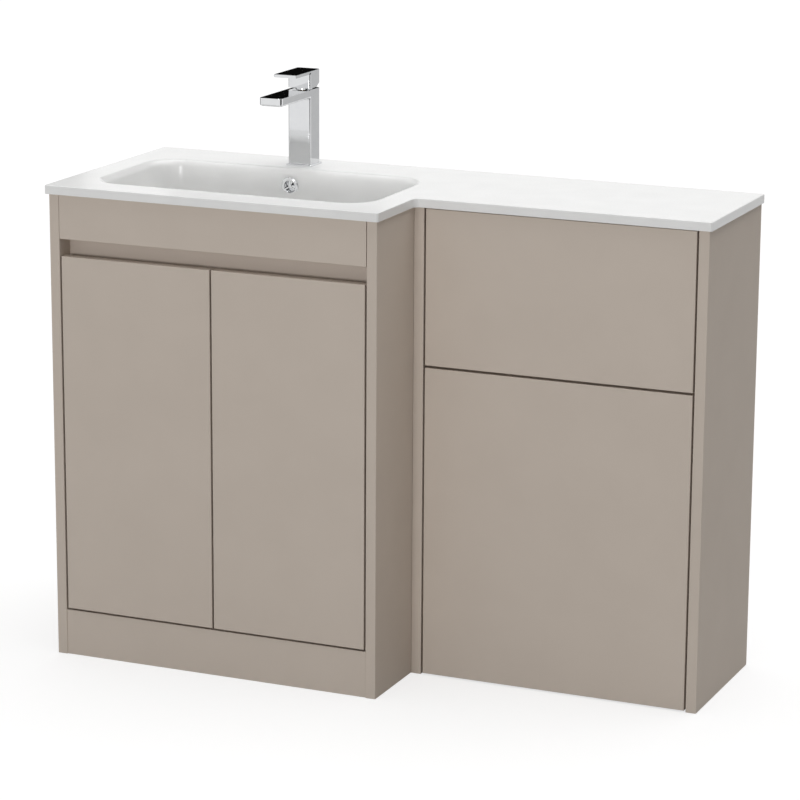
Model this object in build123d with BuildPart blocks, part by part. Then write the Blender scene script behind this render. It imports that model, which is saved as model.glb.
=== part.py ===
from build123d import *
import math
import os

# L-shaped vanity and WC furniture unit with a one-piece basin top and a square basin mixer.
# Millimetres. Origin: middle of the bounding box on the floor. +X along the front to the right,
# +Y towards the wall, +Z up.

# Driving dimensions of the cabinets
vanity_width = 595
wc_width = 505
vanity_depth = 425
wc_depth = 275
carcass_height = 800
board = 18
gap = 3
edge_round = 1.5

# Front of the vanity
fascia_bottom = 725
door_top = 695.5
door_bottom = 82.5
plinth_height = 79
plinth_recess = 2
bumper_thickness = 1.5
finger_pull_depth = 36
channel_wall = 2.5

# Front of the WC unit
split_height = 533.5
split_gap = 4
panel_floor_gap = 2
panel_head_gap = 2
rail_setback = 2
rail_height = 70

# Basin top
top_thickness = 15
front_overhang = 6
side_overhang = 5
inner_overhang = 4
bowl_length = 492
bowl_width = 245
bowl_corner = 47
bowl_rim_radius = 13
bowl_depth = 120
bowl_draft = 8
bowl_floor_radius = 32
bowl_wall = 9
bowl_centre_from_front = 186.5

# Mixer tap
tap_width = 42
tap_column_depth = 40
tap_centre_from_front = 364
tap_height = 132
spout_reach = 114.5
spout_thickness = 14
lever_overhang = 56
lever_plate = 5
lever_height = 30

# Places worked out from the dimensions above
left = -(vanity_width + wc_width) / 2
right = -left
front = -(vanity_depth + front_overhang) / 2 + front_overhang
back = front + vanity_depth
vanity_right = left + vanity_width
wc_front = back - wc_depth
inner_left = left + board
inner_right = vanity_right - board
wc_inner_left = vanity_right + board
wc_inner_right = right - board
top_face = carcass_height + top_thickness
door_back = front + board
carcass_front = door_back + bumper_thickness
base_top = plinth_height + board

os.makedirs("parts", exist_ok=True)


def save(piece, name):
    # one node, one file
    piece.part.label = name
    export_step(piece.part, f"parts/{name}.step")


def block(x_range, y_range, z_range, mode=Mode.ADD):
    # a square-edged block between two values on each axis, added to the open part or cut from it
    centre = tuple(sum(ends) / 2 for ends in (x_range, y_range, z_range))
    with Locations(centre):
        Box(*[ends[1] - ends[0] for ends in (x_range, y_range, z_range)], mode=mode)


def upright_cylinder(x, y, radius, z_range, mode=Mode.ADD):
    with Locations((x, y, sum(z_range) / 2)):
        Cylinder(radius, z_range[1] - z_range[0], mode=mode)


# Hinges: two per door, one real pin each, inside a cup bored in the back of the door
door_width = (inner_right - inner_left - 3 * gap) / 2
hinge_from_end = 95
hinge_heights = (door_bottom + hinge_from_end, door_top - hinge_from_end)
pin_from_edge = 20
pin_from_face = 10.5
pin_radius = 1.5
pin_clearance = 0.05
pin_half_length = 14
cup_from_edge = 21.5
cup_radius = 17.5
cup_bore_depth = 12.5
cup_clearance = 0.2
cup_wall = 0.9
cup_flange = 1.2
cup_screw_offset = 24
arm_thickness = 2.5
arm_width = 14
arm_reach = 13.5
arm_from_pin = 16
arm_end = 62
plate_thickness = pin_from_edge + gap - arm_from_pin - arm_thickness / 2
plate_start = 32
plate_end = 60
plate_screw_offset = 16
plate_screw_from_pin = 42
screw_radius = 2
screw_head_radius = 3.8
screw_head = 1.5
screw_length = 11
pin_y = front + pin_from_face
hands = (("left", inner_left, 1), ("right", inner_right, -1))

# Side panels of the vanity: board to the floor, with holes for shelf pins and hinge screws
shelf_height = 372
shelf_pin_radius = 2.5
shelf_pin_depth = 9
shelf_pin_out = 8
shelf_pin_setbacks = (90, 330)
joining_bolt_radius = 3
joining_bolt_heights = (150, 650)
joining_bolt_setbacks = (190, 380)

for hand, inner_face, sign in hands:
    outer_face = inner_face - sign * board
    with BuildPart() as side_panel:
        block(sorted((outer_face, inner_face)), (front, back), (0, carcass_height))
        front_edges = side_panel.edges().filter_by(Axis.Z).group_by(Axis.Y)[0]
        fillet(front_edges, edge_round)
        inward = Plane(origin=(inner_face, 0, 0), x_dir=(0, 1, 0), z_dir=(sign, 0, 0))
        # local x runs along world Y, local y along world Z or its opposite
        up = inward.y_dir.Z
        with BuildSketch(inward):
            with Locations(*[(front + y, up * shelf_height) for y in shelf_pin_setbacks]):
                Circle(shelf_pin_radius)
        extrude(amount=-shelf_pin_depth, mode=Mode.SUBTRACT)
        with BuildSketch(inward):
            with Locations(*[(pin_y + plate_screw_from_pin, up * (z + dz)) for z in hinge_heights
                             for dz in (-plate_screw_offset, plate_screw_offset)]):
                Circle(screw_radius)
        extrude(amount=-screw_length, mode=Mode.SUBTRACT)
        if hand == "right":
            with BuildSketch(inward):
                with Locations(*[(front + y, up * z) for y in joining_bolt_setbacks
                                 for z in joining_bolt_heights]):
                    Circle(joining_bolt_radius)
            extrude(amount=-board, mode=Mode.SUBTRACT)
    save(side_panel, f"vanity_{hand}_side")

# The strip of each door outside its pin swings inwards, so what stands behind it is notched
edge_softening = 0.5
swing_notch_width = 36
swing_notch_depth = 13.5
swing_notches = [(inner_left, inner_left + swing_notch_width),
                 (inner_right - swing_notch_width, inner_right)]
swing_notch_back = carcass_front + swing_notch_depth

with BuildPart() as vanity_base_board:
    block((inner_left, inner_right), (carcass_front, back), (plinth_height, base_top))
    fillet(vanity_base_board.edges().filter_by(Axis.X).group_by(Axis.Y)[0], edge_softening)
    for notch in swing_notches:
        block(notch, (door_back, swing_notch_back), (plinth_height, base_top), mode=Mode.SUBTRACT)
save(vanity_base_board, "vanity_base_board")

with BuildPart() as vanity_plinth:
    block((inner_left, inner_right), (front + plinth_recess, front + plinth_recess + board),
          (0, plinth_height))
save(vanity_plinth, "vanity_plinth")

with BuildPart() as vanity_lower_back_rail:
    block((inner_left, inner_right), (back - board, back), (0, plinth_height))
save(vanity_lower_back_rail, "vanity_lower_back_rail")

# Upper back rail: the wall brackets hang under it
back_rail_bottom = 720
with BuildPart() as vanity_upper_back_rail:
    block((inner_left, inner_right), (back - board, back), (back_rail_bottom, carcass_height))
save(vanity_upper_back_rail, "vanity_upper_back_rail")

# Thin back panel with a service cut-out for the waste and the two supplies
back_panel_thickness = 8
back_panel_top = 685
service_width = 300
service_height = 190
service_centre_height = 540
with BuildPart() as vanity_back_panel:
    back_plane = Plane(origin=((inner_left + inner_right) / 2, back - board, 0),
                       x_dir=(1, 0, 0), z_dir=(0, -1, 0))
    with BuildSketch(back_plane):
        with Locations((0, (base_top + back_panel_top) / 2)):
            Rectangle(inner_right - inner_left, back_panel_top - base_top)
        with Locations((0, service_centre_height)):
            RectangleRounded(service_width, service_height, 20, mode=Mode.SUBTRACT)
    extrude(amount=back_panel_thickness)
save(vanity_back_panel, "vanity_back_panel")

fascia_side_gap = 0.75
fascia_head_gap = 0.5
with BuildPart() as vanity_fascia:
    block((inner_left + fascia_side_gap, inner_right - fascia_side_gap), (front, door_back),
          (fascia_bottom, carcass_height - fascia_head_gap))
    fillet(vanity_fascia.edges().filter_by(Axis.X).group_by(Axis.Y)[0], 1)
save(vanity_fascia, "vanity_fascia")

# Angle brackets that hold the fascia to the side panels
bracket_leg = 24
bracket_wall = 3
bracket_low = 745
bracket_high = 785
with BuildPart() as fascia_brackets:
    for hand, inner_face, sign in hands:
        block(sorted((inner_face, inner_face + sign * bracket_wall)),
              (door_back, door_back + bracket_leg), (bracket_low, bracket_high))
        block(sorted((inner_face, inner_face + sign * bracket_leg)),
              (door_back, door_back + bracket_wall), (bracket_low, bracket_high))
save(fascia_brackets, "fascia_brackets")

# Finger pull: a coved channel the full width between the sides, with a lip that the doors meet
channel_bottom = 673
channel_lip_bottom = 655
cove = 11
channel_top_y = channel_wall / 2
with BuildPart() as finger_pull_channel:
    with BuildSketch(Plane.YZ.offset(inner_left)):
        with BuildLine():
            FilletPolyline(
                (door_back, fascia_bottom + channel_top_y),
                (front + finger_pull_depth + channel_top_y, fascia_bottom + channel_top_y),
                (front + finger_pull_depth + channel_top_y, channel_bottom),
                (carcass_front + channel_top_y, channel_bottom),
                (carcass_front + channel_top_y, channel_lip_bottom),
                radius=(cove, cove, 2))
        trace(line_width=channel_wall)
    extrude(amount=inner_right - inner_left)
    for notch in swing_notches:
        block(notch, (door_back, swing_notch_back), (channel_lip_bottom - gap, door_top),
              mode=Mode.SUBTRACT)
save(finger_pull_channel, "finger_pull_channel")

# Shelf on four pins
shelf_thickness = 16
shelf_side_gap = 1
shelf_front_setback = 50
shelf_back_setback = 30
with BuildPart() as vanity_shelf:
    block((inner_left + shelf_side_gap, inner_right - shelf_side_gap),
          (front + shelf_front_setback, back - shelf_back_setback),
          (shelf_height + shelf_pin_radius, shelf_height + shelf_pin_radius + shelf_thickness))
    fillet(vanity_shelf.edges().filter_by(Axis.X).group_by(Axis.Y)[0], 1)
save(vanity_shelf, "vanity_shelf")

with BuildPart() as shelf_pins:
    for hand, inner_face, sign in hands:
        with BuildSketch(Plane.YZ.offset(inner_face - sign * shelf_pin_depth)):
            with Locations(*[(front + y, shelf_height) for y in shelf_pin_setbacks]):
                Circle(shelf_pin_radius)
        extrude(amount=sign * (shelf_pin_depth + shelf_pin_out))
save(shelf_pins, "shelf_pins")

# Doors, inset between the side panels
for hand, inner_face, sign in hands:
    edge = inner_face + sign * gap
    far_edge = edge + sign * door_width
    cup_x = edge + sign * cup_from_edge
    with BuildPart() as door:
        block(sorted((edge, far_edge)), (front, door_back), (door_bottom, door_top))
        fillet(door.faces().sort_by(Axis.Y)[0].edges(), edge_round)
        rear = Plane(origin=(cup_x, door_back, 0), x_dir=(1, 0, 0), z_dir=(0, -1, 0))
        with BuildSketch(rear):
            with Locations(*[(0, z) for z in hinge_heights]):
                Circle(cup_radius)
        extrude(amount=cup_bore_depth, mode=Mode.SUBTRACT)
        with BuildSketch(rear):
            with Locations(*[(0, z + dz) for z in hinge_heights
                             for dz in (-cup_screw_offset, cup_screw_offset)]):
                Circle(screw_radius)
        extrude(amount=screw_length, mode=Mode.SUBTRACT)
    save(door, f"{hand}_door")

# Clear buffers on the carcass, where the doors come to rest
bumper_radius = 4.5
bumper_inset = 40
with BuildPart() as door_bumpers:
    middle = (inner_left + inner_right) / 2
    with BuildSketch(Plane(origin=(middle, carcass_front, 0), x_dir=(1, 0, 0), z_dir=(0, -1, 0))):
        with Locations(*[(x, z) for x in (-bumper_inset, bumper_inset)
                         for z in (door_bottom + 7, (channel_bottom + channel_lip_bottom) / 2)]):
            Circle(bumper_radius)
    extrude(amount=bumper_thickness)
    fillet(door_bumpers.faces().group_by(Axis.Y)[0].edges(), 0.5)
save(door_bumpers, "door_bumpers")

# Hinge pieces
cup_body_radius = cup_radius - 0.1
cup_inside_radius = cup_body_radius - cup_wall
cup_body_depth = cup_bore_depth - cup_clearance
cheek_start = 9
cheek_half_width = 3
cheek_top = 3.5
eye_radius = 3.2
wing_width = 15
plate_wing = 22
for hand, inner_face, sign in hands:
    edge = inner_face + sign * gap
    cup_x = edge + sign * cup_from_edge
    pin_x = edge + sign * pin_from_edge

    # cup with flange, wings and two cheeks that carry the pin
    with BuildPart() as hinge_cups:
        for z in hinge_heights:
            rear = Plane(origin=(cup_x, door_back, z), x_dir=(1, 0, 0), z_dir=(0, -1, 0))
            with BuildSketch(rear):
                Circle(cup_body_radius)
                Rectangle(wing_width, 2 * (cup_screw_offset + wing_width / 2))
                Circle(cup_inside_radius, mode=Mode.SUBTRACT)
                with Locations((0, -cup_screw_offset), (0, cup_screw_offset)):
                    Circle(screw_radius, mode=Mode.SUBTRACT)
            extrude(amount=-cup_flange)
            with BuildSketch(rear):
                Circle(cup_body_radius)
                Circle(cup_inside_radius, mode=Mode.SUBTRACT)
            extrude(amount=cup_body_depth)
            with BuildSketch(rear.offset(cup_body_depth - cup_wall)):
                Circle(cup_body_radius)
            extrude(amount=cup_wall)
            for low in (z - pin_half_length, z + cheek_start):
                cheek_front = door_back - cup_body_depth
                cheek_back = pin_y + cheek_top
                with BuildSketch(Plane.XY.offset(low)):
                    with Locations((pin_x, (cheek_front + cheek_back) / 2)):
                        Rectangle(2 * cheek_half_width, cheek_back - cheek_front)
                    with Locations((pin_x, pin_y)):
                        Circle(pin_radius, mode=Mode.SUBTRACT)
                extrude(amount=pin_half_length - cheek_start)
    save(hinge_cups, f"{hand}_hinge_cups")

    with BuildPart() as hinge_pins:
        for z in hinge_heights:
            upright_cylinder(pin_x, pin_y, pin_radius, (z - pin_half_length, z + pin_half_length))
    save(hinge_pins, f"{hand}_hinge_pins")

    # swan-necked arm: out of the cup, round the door's edge, and back along the side panel
    arm_points = [(0, 0), (arm_reach, 7), (arm_reach, 25), (-arm_from_pin, 28),
                  (-arm_from_pin, arm_end)]
    with BuildPart() as hinge_arms:
        for z in hinge_heights:
            with BuildSketch(Plane.XY.offset(z - arm_width / 2)):
                with BuildLine():
                    FilletPolyline(*[(pin_x + sign * x, pin_y + y) for x, y in arm_points],
                                   radius=3)
                trace(line_width=arm_thickness)
                with Locations((pin_x, pin_y)):
                    Circle(eye_radius)
                    Circle(pin_radius + pin_clearance, mode=Mode.SUBTRACT)
            extrude(amount=arm_width)
    save(hinge_arms, f"{hand}_hinge_arms")

    # mounting plate under each arm, with two wings screwed to the side panel
    with BuildPart() as hinge_plates:
        for z in hinge_heights:
            block(sorted((inner_face, inner_face + sign * plate_thickness)),
                  (pin_y + plate_start, pin_y + plate_end), (z - arm_width / 2, z + arm_width / 2))
            block(sorted((inner_face, inner_face + sign * 2)),
                  (pin_y + plate_screw_from_pin - 6, pin_y + plate_screw_from_pin + 6),
                  (z - plate_wing, z + plate_wing))
        with BuildSketch(Plane(origin=(inner_face, 0, 0), x_dir=(0, 1, 0), z_dir=(1, 0, 0))):
            with Locations(*[(pin_y + plate_screw_from_pin, z + dz) for z in hinge_heights
                             for dz in (-plate_screw_offset, plate_screw_offset)]):
                Circle(screw_radius)
        extrude(amount=2, both=True, mode=Mode.SUBTRACT)
    save(hinge_plates, f"{hand}_hinge_plates")

    # screws of the cups turn with the door, screws of the plates stay in the side panel
    with BuildPart() as cup_screws:
        for z in hinge_heights:
            for end in (-1, 1):
                seat = Plane(origin=(cup_x, door_back + cup_flange, z + end * cup_screw_offset),
                             x_dir=(1, 0, 0), z_dir=(0, -1, 0))
                with BuildSketch(seat):
                    Circle(screw_head_radius)
                extrude(amount=-screw_head)
                with BuildSketch(seat):
                    Circle(screw_radius)
                extrude(amount=screw_length)
    save(cup_screws, f"{hand}_cup_screws")

    with BuildPart() as plate_screws:
        for z in hinge_heights:
            for end in (-1, 1):
                seat = Plane(origin=(inner_face + sign * 2, pin_y + plate_screw_from_pin,
                                     z + end * plate_screw_offset),
                             x_dir=(0, 1, 0), z_dir=(-sign, 0, 0))
                with BuildSketch(seat):
                    Circle(screw_head_radius)
                extrude(amount=-screw_head)
                with BuildSketch(seat):
                    Circle(screw_radius)
                extrude(amount=screw_length)
    save(plate_screws, f"{hand}_plate_screws")

# WC unit: two side panels, rails between them, a fixed lower panel and a pull-off access panel
wc_hands = (("left", wc_inner_left, 1), ("right", wc_inner_right, -1))
for hand, inner_face, sign in wc_hands:
    outer_face = inner_face - sign * board
    with BuildPart() as wc_side_panel:
        block(sorted((outer_face, inner_face)), (wc_front, back), (0, carcass_height))
        front_edges = wc_side_panel.edges().filter_by(Axis.Z).group_by(Axis.Y)[0]
        fillet(front_edges, edge_round)
        if hand == "left":
            inward = Plane(origin=(inner_face, 0, 0), x_dir=(0, 1, 0), z_dir=(1, 0, 0))
            with BuildSketch(inward):
                with Locations(*[(front + y, z) for y in joining_bolt_setbacks
                                 for z in joining_bolt_heights]):
                    Circle(joining_bolt_radius)
            extrude(amount=-board, mode=Mode.SUBTRACT)
    save(wc_side_panel, f"wc_{hand}_side")

wc_panel_left = wc_inner_left + gap
wc_panel_right = wc_inner_right - gap
access_bottom = split_height + split_gap / 2
access_top = carcass_height - panel_head_gap
wc_panel_back = wc_front + board
rail_front = wc_panel_back + rail_setback
rail_back = rail_front + board
middle_rail_bottom = split_height - rail_height / 2 + 10
middle_rail_top = middle_rail_bottom + rail_height
head_rail_bottom = carcass_height - rail_height

with BuildPart() as wc_lower_panel:
    block((wc_panel_left, wc_panel_right), (wc_front, wc_panel_back),
          (panel_floor_gap, split_height - split_gap / 2))
    fillet(wc_lower_panel.faces().sort_by(Axis.Y)[0].edges(), edge_round)
save(wc_lower_panel, "wc_lower_panel")

with BuildPart() as wc_access_panel:
    block((wc_panel_left, wc_panel_right), (wc_front, wc_panel_back), (access_bottom, access_top))
    fillet(wc_access_panel.faces().sort_by(Axis.Y)[0].edges(), edge_round)
save(wc_access_panel, "wc_access_panel")

# Push-in studs on the back of the access panel, and their sockets in the two rails
stud_radius = 4
stud_clearance = 0.08
stud_length = 15
stud_collar_radius = 7
stud_collar = 1.5
socket_radius = 7
socket_end = 16
stud_inset = 60
stud_heights = (middle_rail_top - 14, head_rail_bottom + rail_height / 2)
stud_places = [(x, z) for x in (wc_panel_left + stud_inset, wc_panel_right - stud_inset)
               for z in stud_heights]

rail_plane = Plane(origin=(0, rail_front, 0), x_dir=(1, 0, 0), z_dir=(0, -1, 0))
foot_rail_bottom = 20
for name, low in (("wc_head_rail", head_rail_bottom), ("wc_middle_rail", middle_rail_bottom),
                  ("wc_foot_rail", foot_rail_bottom)):
    with BuildPart() as rail:
        block((wc_inner_left, wc_inner_right), (rail_front, rail_back), (low, low + rail_height))
        if name != "wc_foot_rail":
            with BuildSketch(rail_plane):
                with Locations(*[(x, z) for x, z in stud_places if low < z < low + rail_height]):
                    Circle(socket_radius)
            extrude(amount=-board, mode=Mode.SUBTRACT)
    save(rail, name)

with BuildPart() as wc_back_rail:
    block((wc_inner_left, wc_inner_right), (back - board, back), (back_rail_bottom, carcass_height))
save(wc_back_rail, "wc_back_rail")

with BuildPart() as access_panel_studs:
    with BuildSketch(Plane(origin=(0, wc_panel_back, 0), x_dir=(1, 0, 0), z_dir=(0, -1, 0))):
        with Locations(*stud_places):
            Circle(stud_collar_radius)
    extrude(amount=-stud_collar)
    with BuildSketch(Plane(origin=(0, wc_panel_back, 0), x_dir=(1, 0, 0), z_dir=(0, -1, 0))):
        with Locations(*stud_places):
            Circle(stud_radius)
    extrude(amount=-stud_length)
    chamfer(access_panel_studs.faces().group_by(Axis.Y)[-1].edges(), 1)
save(access_panel_studs, "access_panel_studs")

with BuildPart() as access_panel_sockets:
    with BuildSketch(rail_plane):
        with Locations(*stud_places):
            Circle(socket_radius)
            Circle(stud_radius + stud_clearance, mode=Mode.SUBTRACT)
    extrude(amount=-socket_end)
save(access_panel_sockets, "access_panel_sockets")

# Blocks behind the lower panel, that fix it to the middle and foot rails
spacer_width = 40
spacer_height = 19
spacer_rise = 3
with BuildPart() as lower_panel_spacers:
    for x in (wc_panel_left + stud_inset, wc_panel_right - stud_inset):
        for low in (foot_rail_bottom, middle_rail_bottom):
            block((x - spacer_width / 2, x + spacer_width / 2), (wc_panel_back, rail_front),
                  (low + spacer_rise, low + spacer_rise + spacer_height))
save(lower_panel_spacers, "lower_panel_spacers")

# Bolts and nuts that join the two units side to side
bolt_head_radius = 6.5
bolt_head = 3
with BuildPart() as unit_joining_bolts:
    joints_at = [(front + y, z) for y in joining_bolt_setbacks for z in joining_bolt_heights]
    with BuildSketch(Plane.YZ.offset(inner_right)):
        with Locations(*joints_at):
            Circle(joining_bolt_radius)
    extrude(amount=2 * board)
    for plane, outwards in ((Plane.YZ.offset(inner_right), -1), (Plane.YZ.offset(wc_inner_left), 1)):
        with BuildSketch(plane):
            with Locations(*joints_at):
                RegularPolygon(bolt_head_radius, 6)
        extrude(amount=outwards * bolt_head)
save(unit_joining_bolts, "unit_joining_bolts")

# Steel angles under the back rails, screwed to the wall through their upright legs
angle_width = 30
angle_leg = 30
angle_wall = 2
wall_hole_radius = 2.75
wall_hole_drop = 17
angle_inset = 70
angle_xs = (inner_left + angle_inset, inner_right - angle_inset,
            wc_inner_left + angle_inset, wc_inner_right - angle_inset)
with BuildPart() as wall_brackets:
    for x in angle_xs:
        block((x - angle_width / 2, x + angle_width / 2), (back - angle_wall, back),
              (back_rail_bottom - angle_leg, back_rail_bottom))
        block((x - angle_width / 2, x + angle_width / 2), (back - board, back),
              (back_rail_bottom - angle_wall, back_rail_bottom))
    with BuildSketch(Plane(origin=(0, back, back_rail_bottom - wall_hole_drop),
                           x_dir=(1, 0, 0), z_dir=(0, -1, 0))):
        with Locations(*[(x, 0) for x in angle_xs]):
            Circle(wall_hole_radius)
    extrude(amount=angle_wall, mode=Mode.SUBTRACT)
save(wall_brackets, "wall_brackets")

# Basin top: L-shaped slab, moulded bowl, waste boss and overflow duct behind the bowl, one piece
slab_left = left - side_overhang
slab_right = right + side_overhang
slab_inner = vanity_right + inner_overhang
slab_front = front - front_overhang
slab_wc_front = wc_front - front_overhang
bowl_x = (left + vanity_right) / 2
bowl_y = front + bowl_centre_from_front
bowl_floor = top_face - bowl_depth
wall_top = top_face - bowl_rim_radius - 1
tap_y = front + tap_centre_from_front
tap_hole_radius = 17.5
waste_hole_radius = 22.5
boss_radius = 34
boss_bottom = 655
duct_half_width = 22
duct_wall = 6
duct_height = 12
duct_floor = boss_bottom + duct_wall - 1
duct_front = bowl_y + bowl_width / 2 + bowl_wall
duct_back = duct_front + 14
overflow_z = 785
overflow_hole_radius = 11
draft = math.radians(bowl_draft)
overflow_y = bowl_y + bowl_width / 2 - (wall_top - overflow_z) * math.tan(draft)
overflow_plane = Plane(origin=(bowl_x, overflow_y, overflow_z), x_dir=(1, 0, 0),
                       z_dir=(0, -math.cos(draft), math.sin(draft)))

with BuildPart() as bowl_cavity:
    with BuildSketch(Plane.XY.offset(wall_top)):
        with Locations((bowl_x, bowl_y)):
            RectangleRounded(bowl_length, bowl_width, bowl_corner)
    extrude(amount=-(wall_top - bowl_floor), taper=bowl_draft)
    fillet(bowl_cavity.faces().sort_by(Axis.Z)[0].edges(), bowl_floor_radius)
    with BuildSketch(Plane.XY.offset(wall_top)):
        with Locations((bowl_x, bowl_y)):
            RectangleRounded(bowl_length, bowl_width, bowl_corner)
    extrude(amount=top_face - wall_top)

with BuildPart() as basin_top:
    with BuildSketch(Plane.XY.offset(carcass_height)):
        with BuildLine():
            FilletPolyline(
                (slab_left, slab_front), (slab_inner, slab_front), (slab_inner, slab_wc_front),
                (slab_right, slab_wc_front), (slab_right, back), (slab_left, back),
                radius=(3, 5, 10, 3, 2, 2), close=True)
        make_face()
    extrude(amount=top_thickness)
    fillet(basin_top.faces().sort_by(Axis.Z)[-1].edges(), 1.5)
    with BuildSketch(Plane.XY.offset(wall_top)):
        with Locations((bowl_x, bowl_y)):
            RectangleRounded(bowl_length + 2 * bowl_wall, bowl_width + 2 * bowl_wall,
                             bowl_corner + bowl_wall)
    extrude(amount=-(wall_top - bowl_floor + bowl_wall), taper=bowl_draft)
    fillet(basin_top.faces().sort_by(Axis.Z)[0].edges(), bowl_floor_radius + bowl_wall)
    upright_cylinder(bowl_x, bowl_y, boss_radius, (boss_bottom, bowl_floor))
    block((bowl_x - duct_half_width, bowl_x + duct_half_width),
          (bowl_y, duct_back + duct_wall), (boss_bottom, bowl_floor))
    block((bowl_x - duct_half_width, bowl_x + duct_half_width),
          (bowl_y + bowl_width / 2 - 20, duct_back + duct_wall), (boss_bottom, carcass_height))
    add(bowl_cavity.part, mode=Mode.SUBTRACT)
    with BuildSketch(Plane.XY.offset(duct_floor)):
        with Locations((bowl_x, (bowl_y + duct_back) / 2)):
            Rectangle(2 * (duct_half_width - duct_wall), duct_back - bowl_y)
    extrude(amount=duct_height, mode=Mode.SUBTRACT)
    with BuildSketch(Plane.XY.offset(duct_floor)):
        with Locations((bowl_x, (duct_front + 1 + duct_back) / 2)):
            Rectangle(2 * (duct_half_width - duct_wall), duct_back - duct_front - 1)
    extrude(amount=overflow_z + overflow_hole_radius - duct_floor, mode=Mode.SUBTRACT)
    with BuildSketch(overflow_plane):
        Circle(overflow_hole_radius)
    extrude(amount=-(bowl_wall + duct_wall), mode=Mode.SUBTRACT)
    upright_cylinder(bowl_x, bowl_y, waste_hole_radius, (boss_bottom, bowl_floor),
                     mode=Mode.SUBTRACT)
    upright_cylinder(bowl_x, tap_y, tap_hole_radius, (carcass_height, top_face),
                     mode=Mode.SUBTRACT)
    rim = basin_top.faces().filter_by(Plane.XY).sort_by(Axis.Z)[-1].inner_wires().sort_by(
        lambda wire: wire.length)[-1].edges()
    fillet(rim, bowl_rim_radius)
save(basin_top, "basin_top")

# Overflow: a ring on the back wall of the bowl, with three spokes set back inside it
overflow_ring_radius = 15.5
overflow_mouth_radius = 9.5
overflow_flange = 2.5
overflow_tube_wall = 1.2
spoke_width = 2.4
with BuildPart() as overflow_ring:
    with BuildSketch(overflow_plane):
        Circle(overflow_ring_radius)
        Circle(overflow_mouth_radius, mode=Mode.SUBTRACT)
    extrude(amount=overflow_flange)
    fillet(overflow_ring.faces().sort_by(Axis.Y)[0].edges(), 1.2)
    with BuildSketch(overflow_plane):
        Circle(overflow_hole_radius - 0.1)
        Circle(overflow_hole_radius - 0.1 - overflow_tube_wall, mode=Mode.SUBTRACT)
    extrude(amount=-bowl_wall)
    with BuildSketch(overflow_plane):
        Circle(spoke_width * 1.1)
        with PolarLocations(overflow_mouth_radius / 2, 3, start_angle=90):
            Rectangle(overflow_mouth_radius + 1, spoke_width)
    extrude(amount=1.2)
save(overflow_ring, "overflow_ring")

# Slotted waste with a push-open plug
seal_thickness = 2
waste_tube_radius = 20.95
waste_tail_radius = 20.65
waste_tail_top = 640
waste_bore_radius = 17.5
waste_flange_radius = 32.5
waste_flange = 3
waste_bottom = 600
flange_low = bowl_floor + seal_thickness
flange_top = flange_low + waste_flange
guide_low = 628
guide_high = 640
guide_radius = 7
plug_stem_radius = 4
plug_clearance = 0.05
plug_radius = 29
plug_travel = 8
plug_rest_gap = 0.3
plug_thickness = 5
slot_half_width = 6
with BuildPart() as waste_body:
    upright_cylinder(bowl_x, bowl_y, waste_flange_radius, (flange_low, flange_top))
    chamfer(waste_body.faces().sort_by(Axis.Z)[-1].edges(), 1)
    upright_cylinder(bowl_x, bowl_y, waste_tube_radius, (waste_tail_top, flange_low))
    upright_cylinder(bowl_x, bowl_y, waste_tail_radius, (waste_bottom, waste_tail_top))
    upright_cylinder(bowl_x, bowl_y, waste_bore_radius, (waste_bottom, flange_top),
                     mode=Mode.SUBTRACT)
    with BuildSketch(Plane.XY.offset(guide_low)):
        with Locations((bowl_x, bowl_y)):
            Circle(guide_radius)
            with PolarLocations(waste_bore_radius / 2 + 1, 3):
                Rectangle(waste_bore_radius, 3)
            Circle(plug_stem_radius + plug_clearance, mode=Mode.SUBTRACT)
    extrude(amount=guide_high - guide_low)
    with Locations((bowl_x, bowl_y, duct_floor + duct_height / 2)):
        Box(2 * slot_half_width, 3 * waste_tube_radius, duct_height, mode=Mode.SUBTRACT)
save(waste_body, "waste_body")

# Rubber rings over the bowl floor and under the boss
waste_nut_radius = 31
lower_seal = 3
waste_nut_height = 10
with BuildPart() as waste_seals:
    for low, high in ((bowl_floor, flange_low), (boss_bottom - lower_seal, boss_bottom)):
        with BuildSketch(Plane.XY.offset(low)):
            with Locations((bowl_x, bowl_y)):
                Circle(waste_nut_radius - 1)
                Circle(waste_hole_radius, mode=Mode.SUBTRACT)
        extrude(amount=high - low)
save(waste_seals, "waste_seals")

plug_low = flange_top + plug_rest_gap
with BuildPart() as waste_plug:
    upright_cylinder(bowl_x, bowl_y, plug_radius, (plug_low, plug_low + plug_thickness))
    fillet(waste_plug.faces().sort_by(Axis.Z)[-1].edges(), 2.5)
    upright_cylinder(bowl_x, bowl_y, plug_stem_radius, (guide_low - plug_travel - 2, plug_low))
save(waste_plug, "waste_plug")

# Mixer tap on the deck behind the bowl
tap_x = bowl_x
base_plate_thickness = 3
plate_overhang = 3
tap_top = top_face + tap_height
column_front = tap_y - tap_column_depth / 2
column_back = tap_y + tap_column_depth / 2
column_low = top_face + base_plate_thickness
spout_tip = column_front - spout_reach
spout_low = tap_top - spout_thickness
column_round = 3.5
spout_round = 4
chamber_radius = 12.6
chamber_floor = tap_top - 32
inlet_radius = 4.5
inlet_depth = 14
inlet_spread = 8.5
inlet_forward = 5
waterway_radius = 3
riser_radius = 4.75
stud_back = 9
fixing_stud_radius = 4
aerator_y = spout_tip + 15
aerator_hole_radius = 9
aerator_depth = 8
inlets = [(tap_x - inlet_spread, tap_y - inlet_forward), (tap_x + inlet_spread, tap_y - inlet_forward)]

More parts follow.
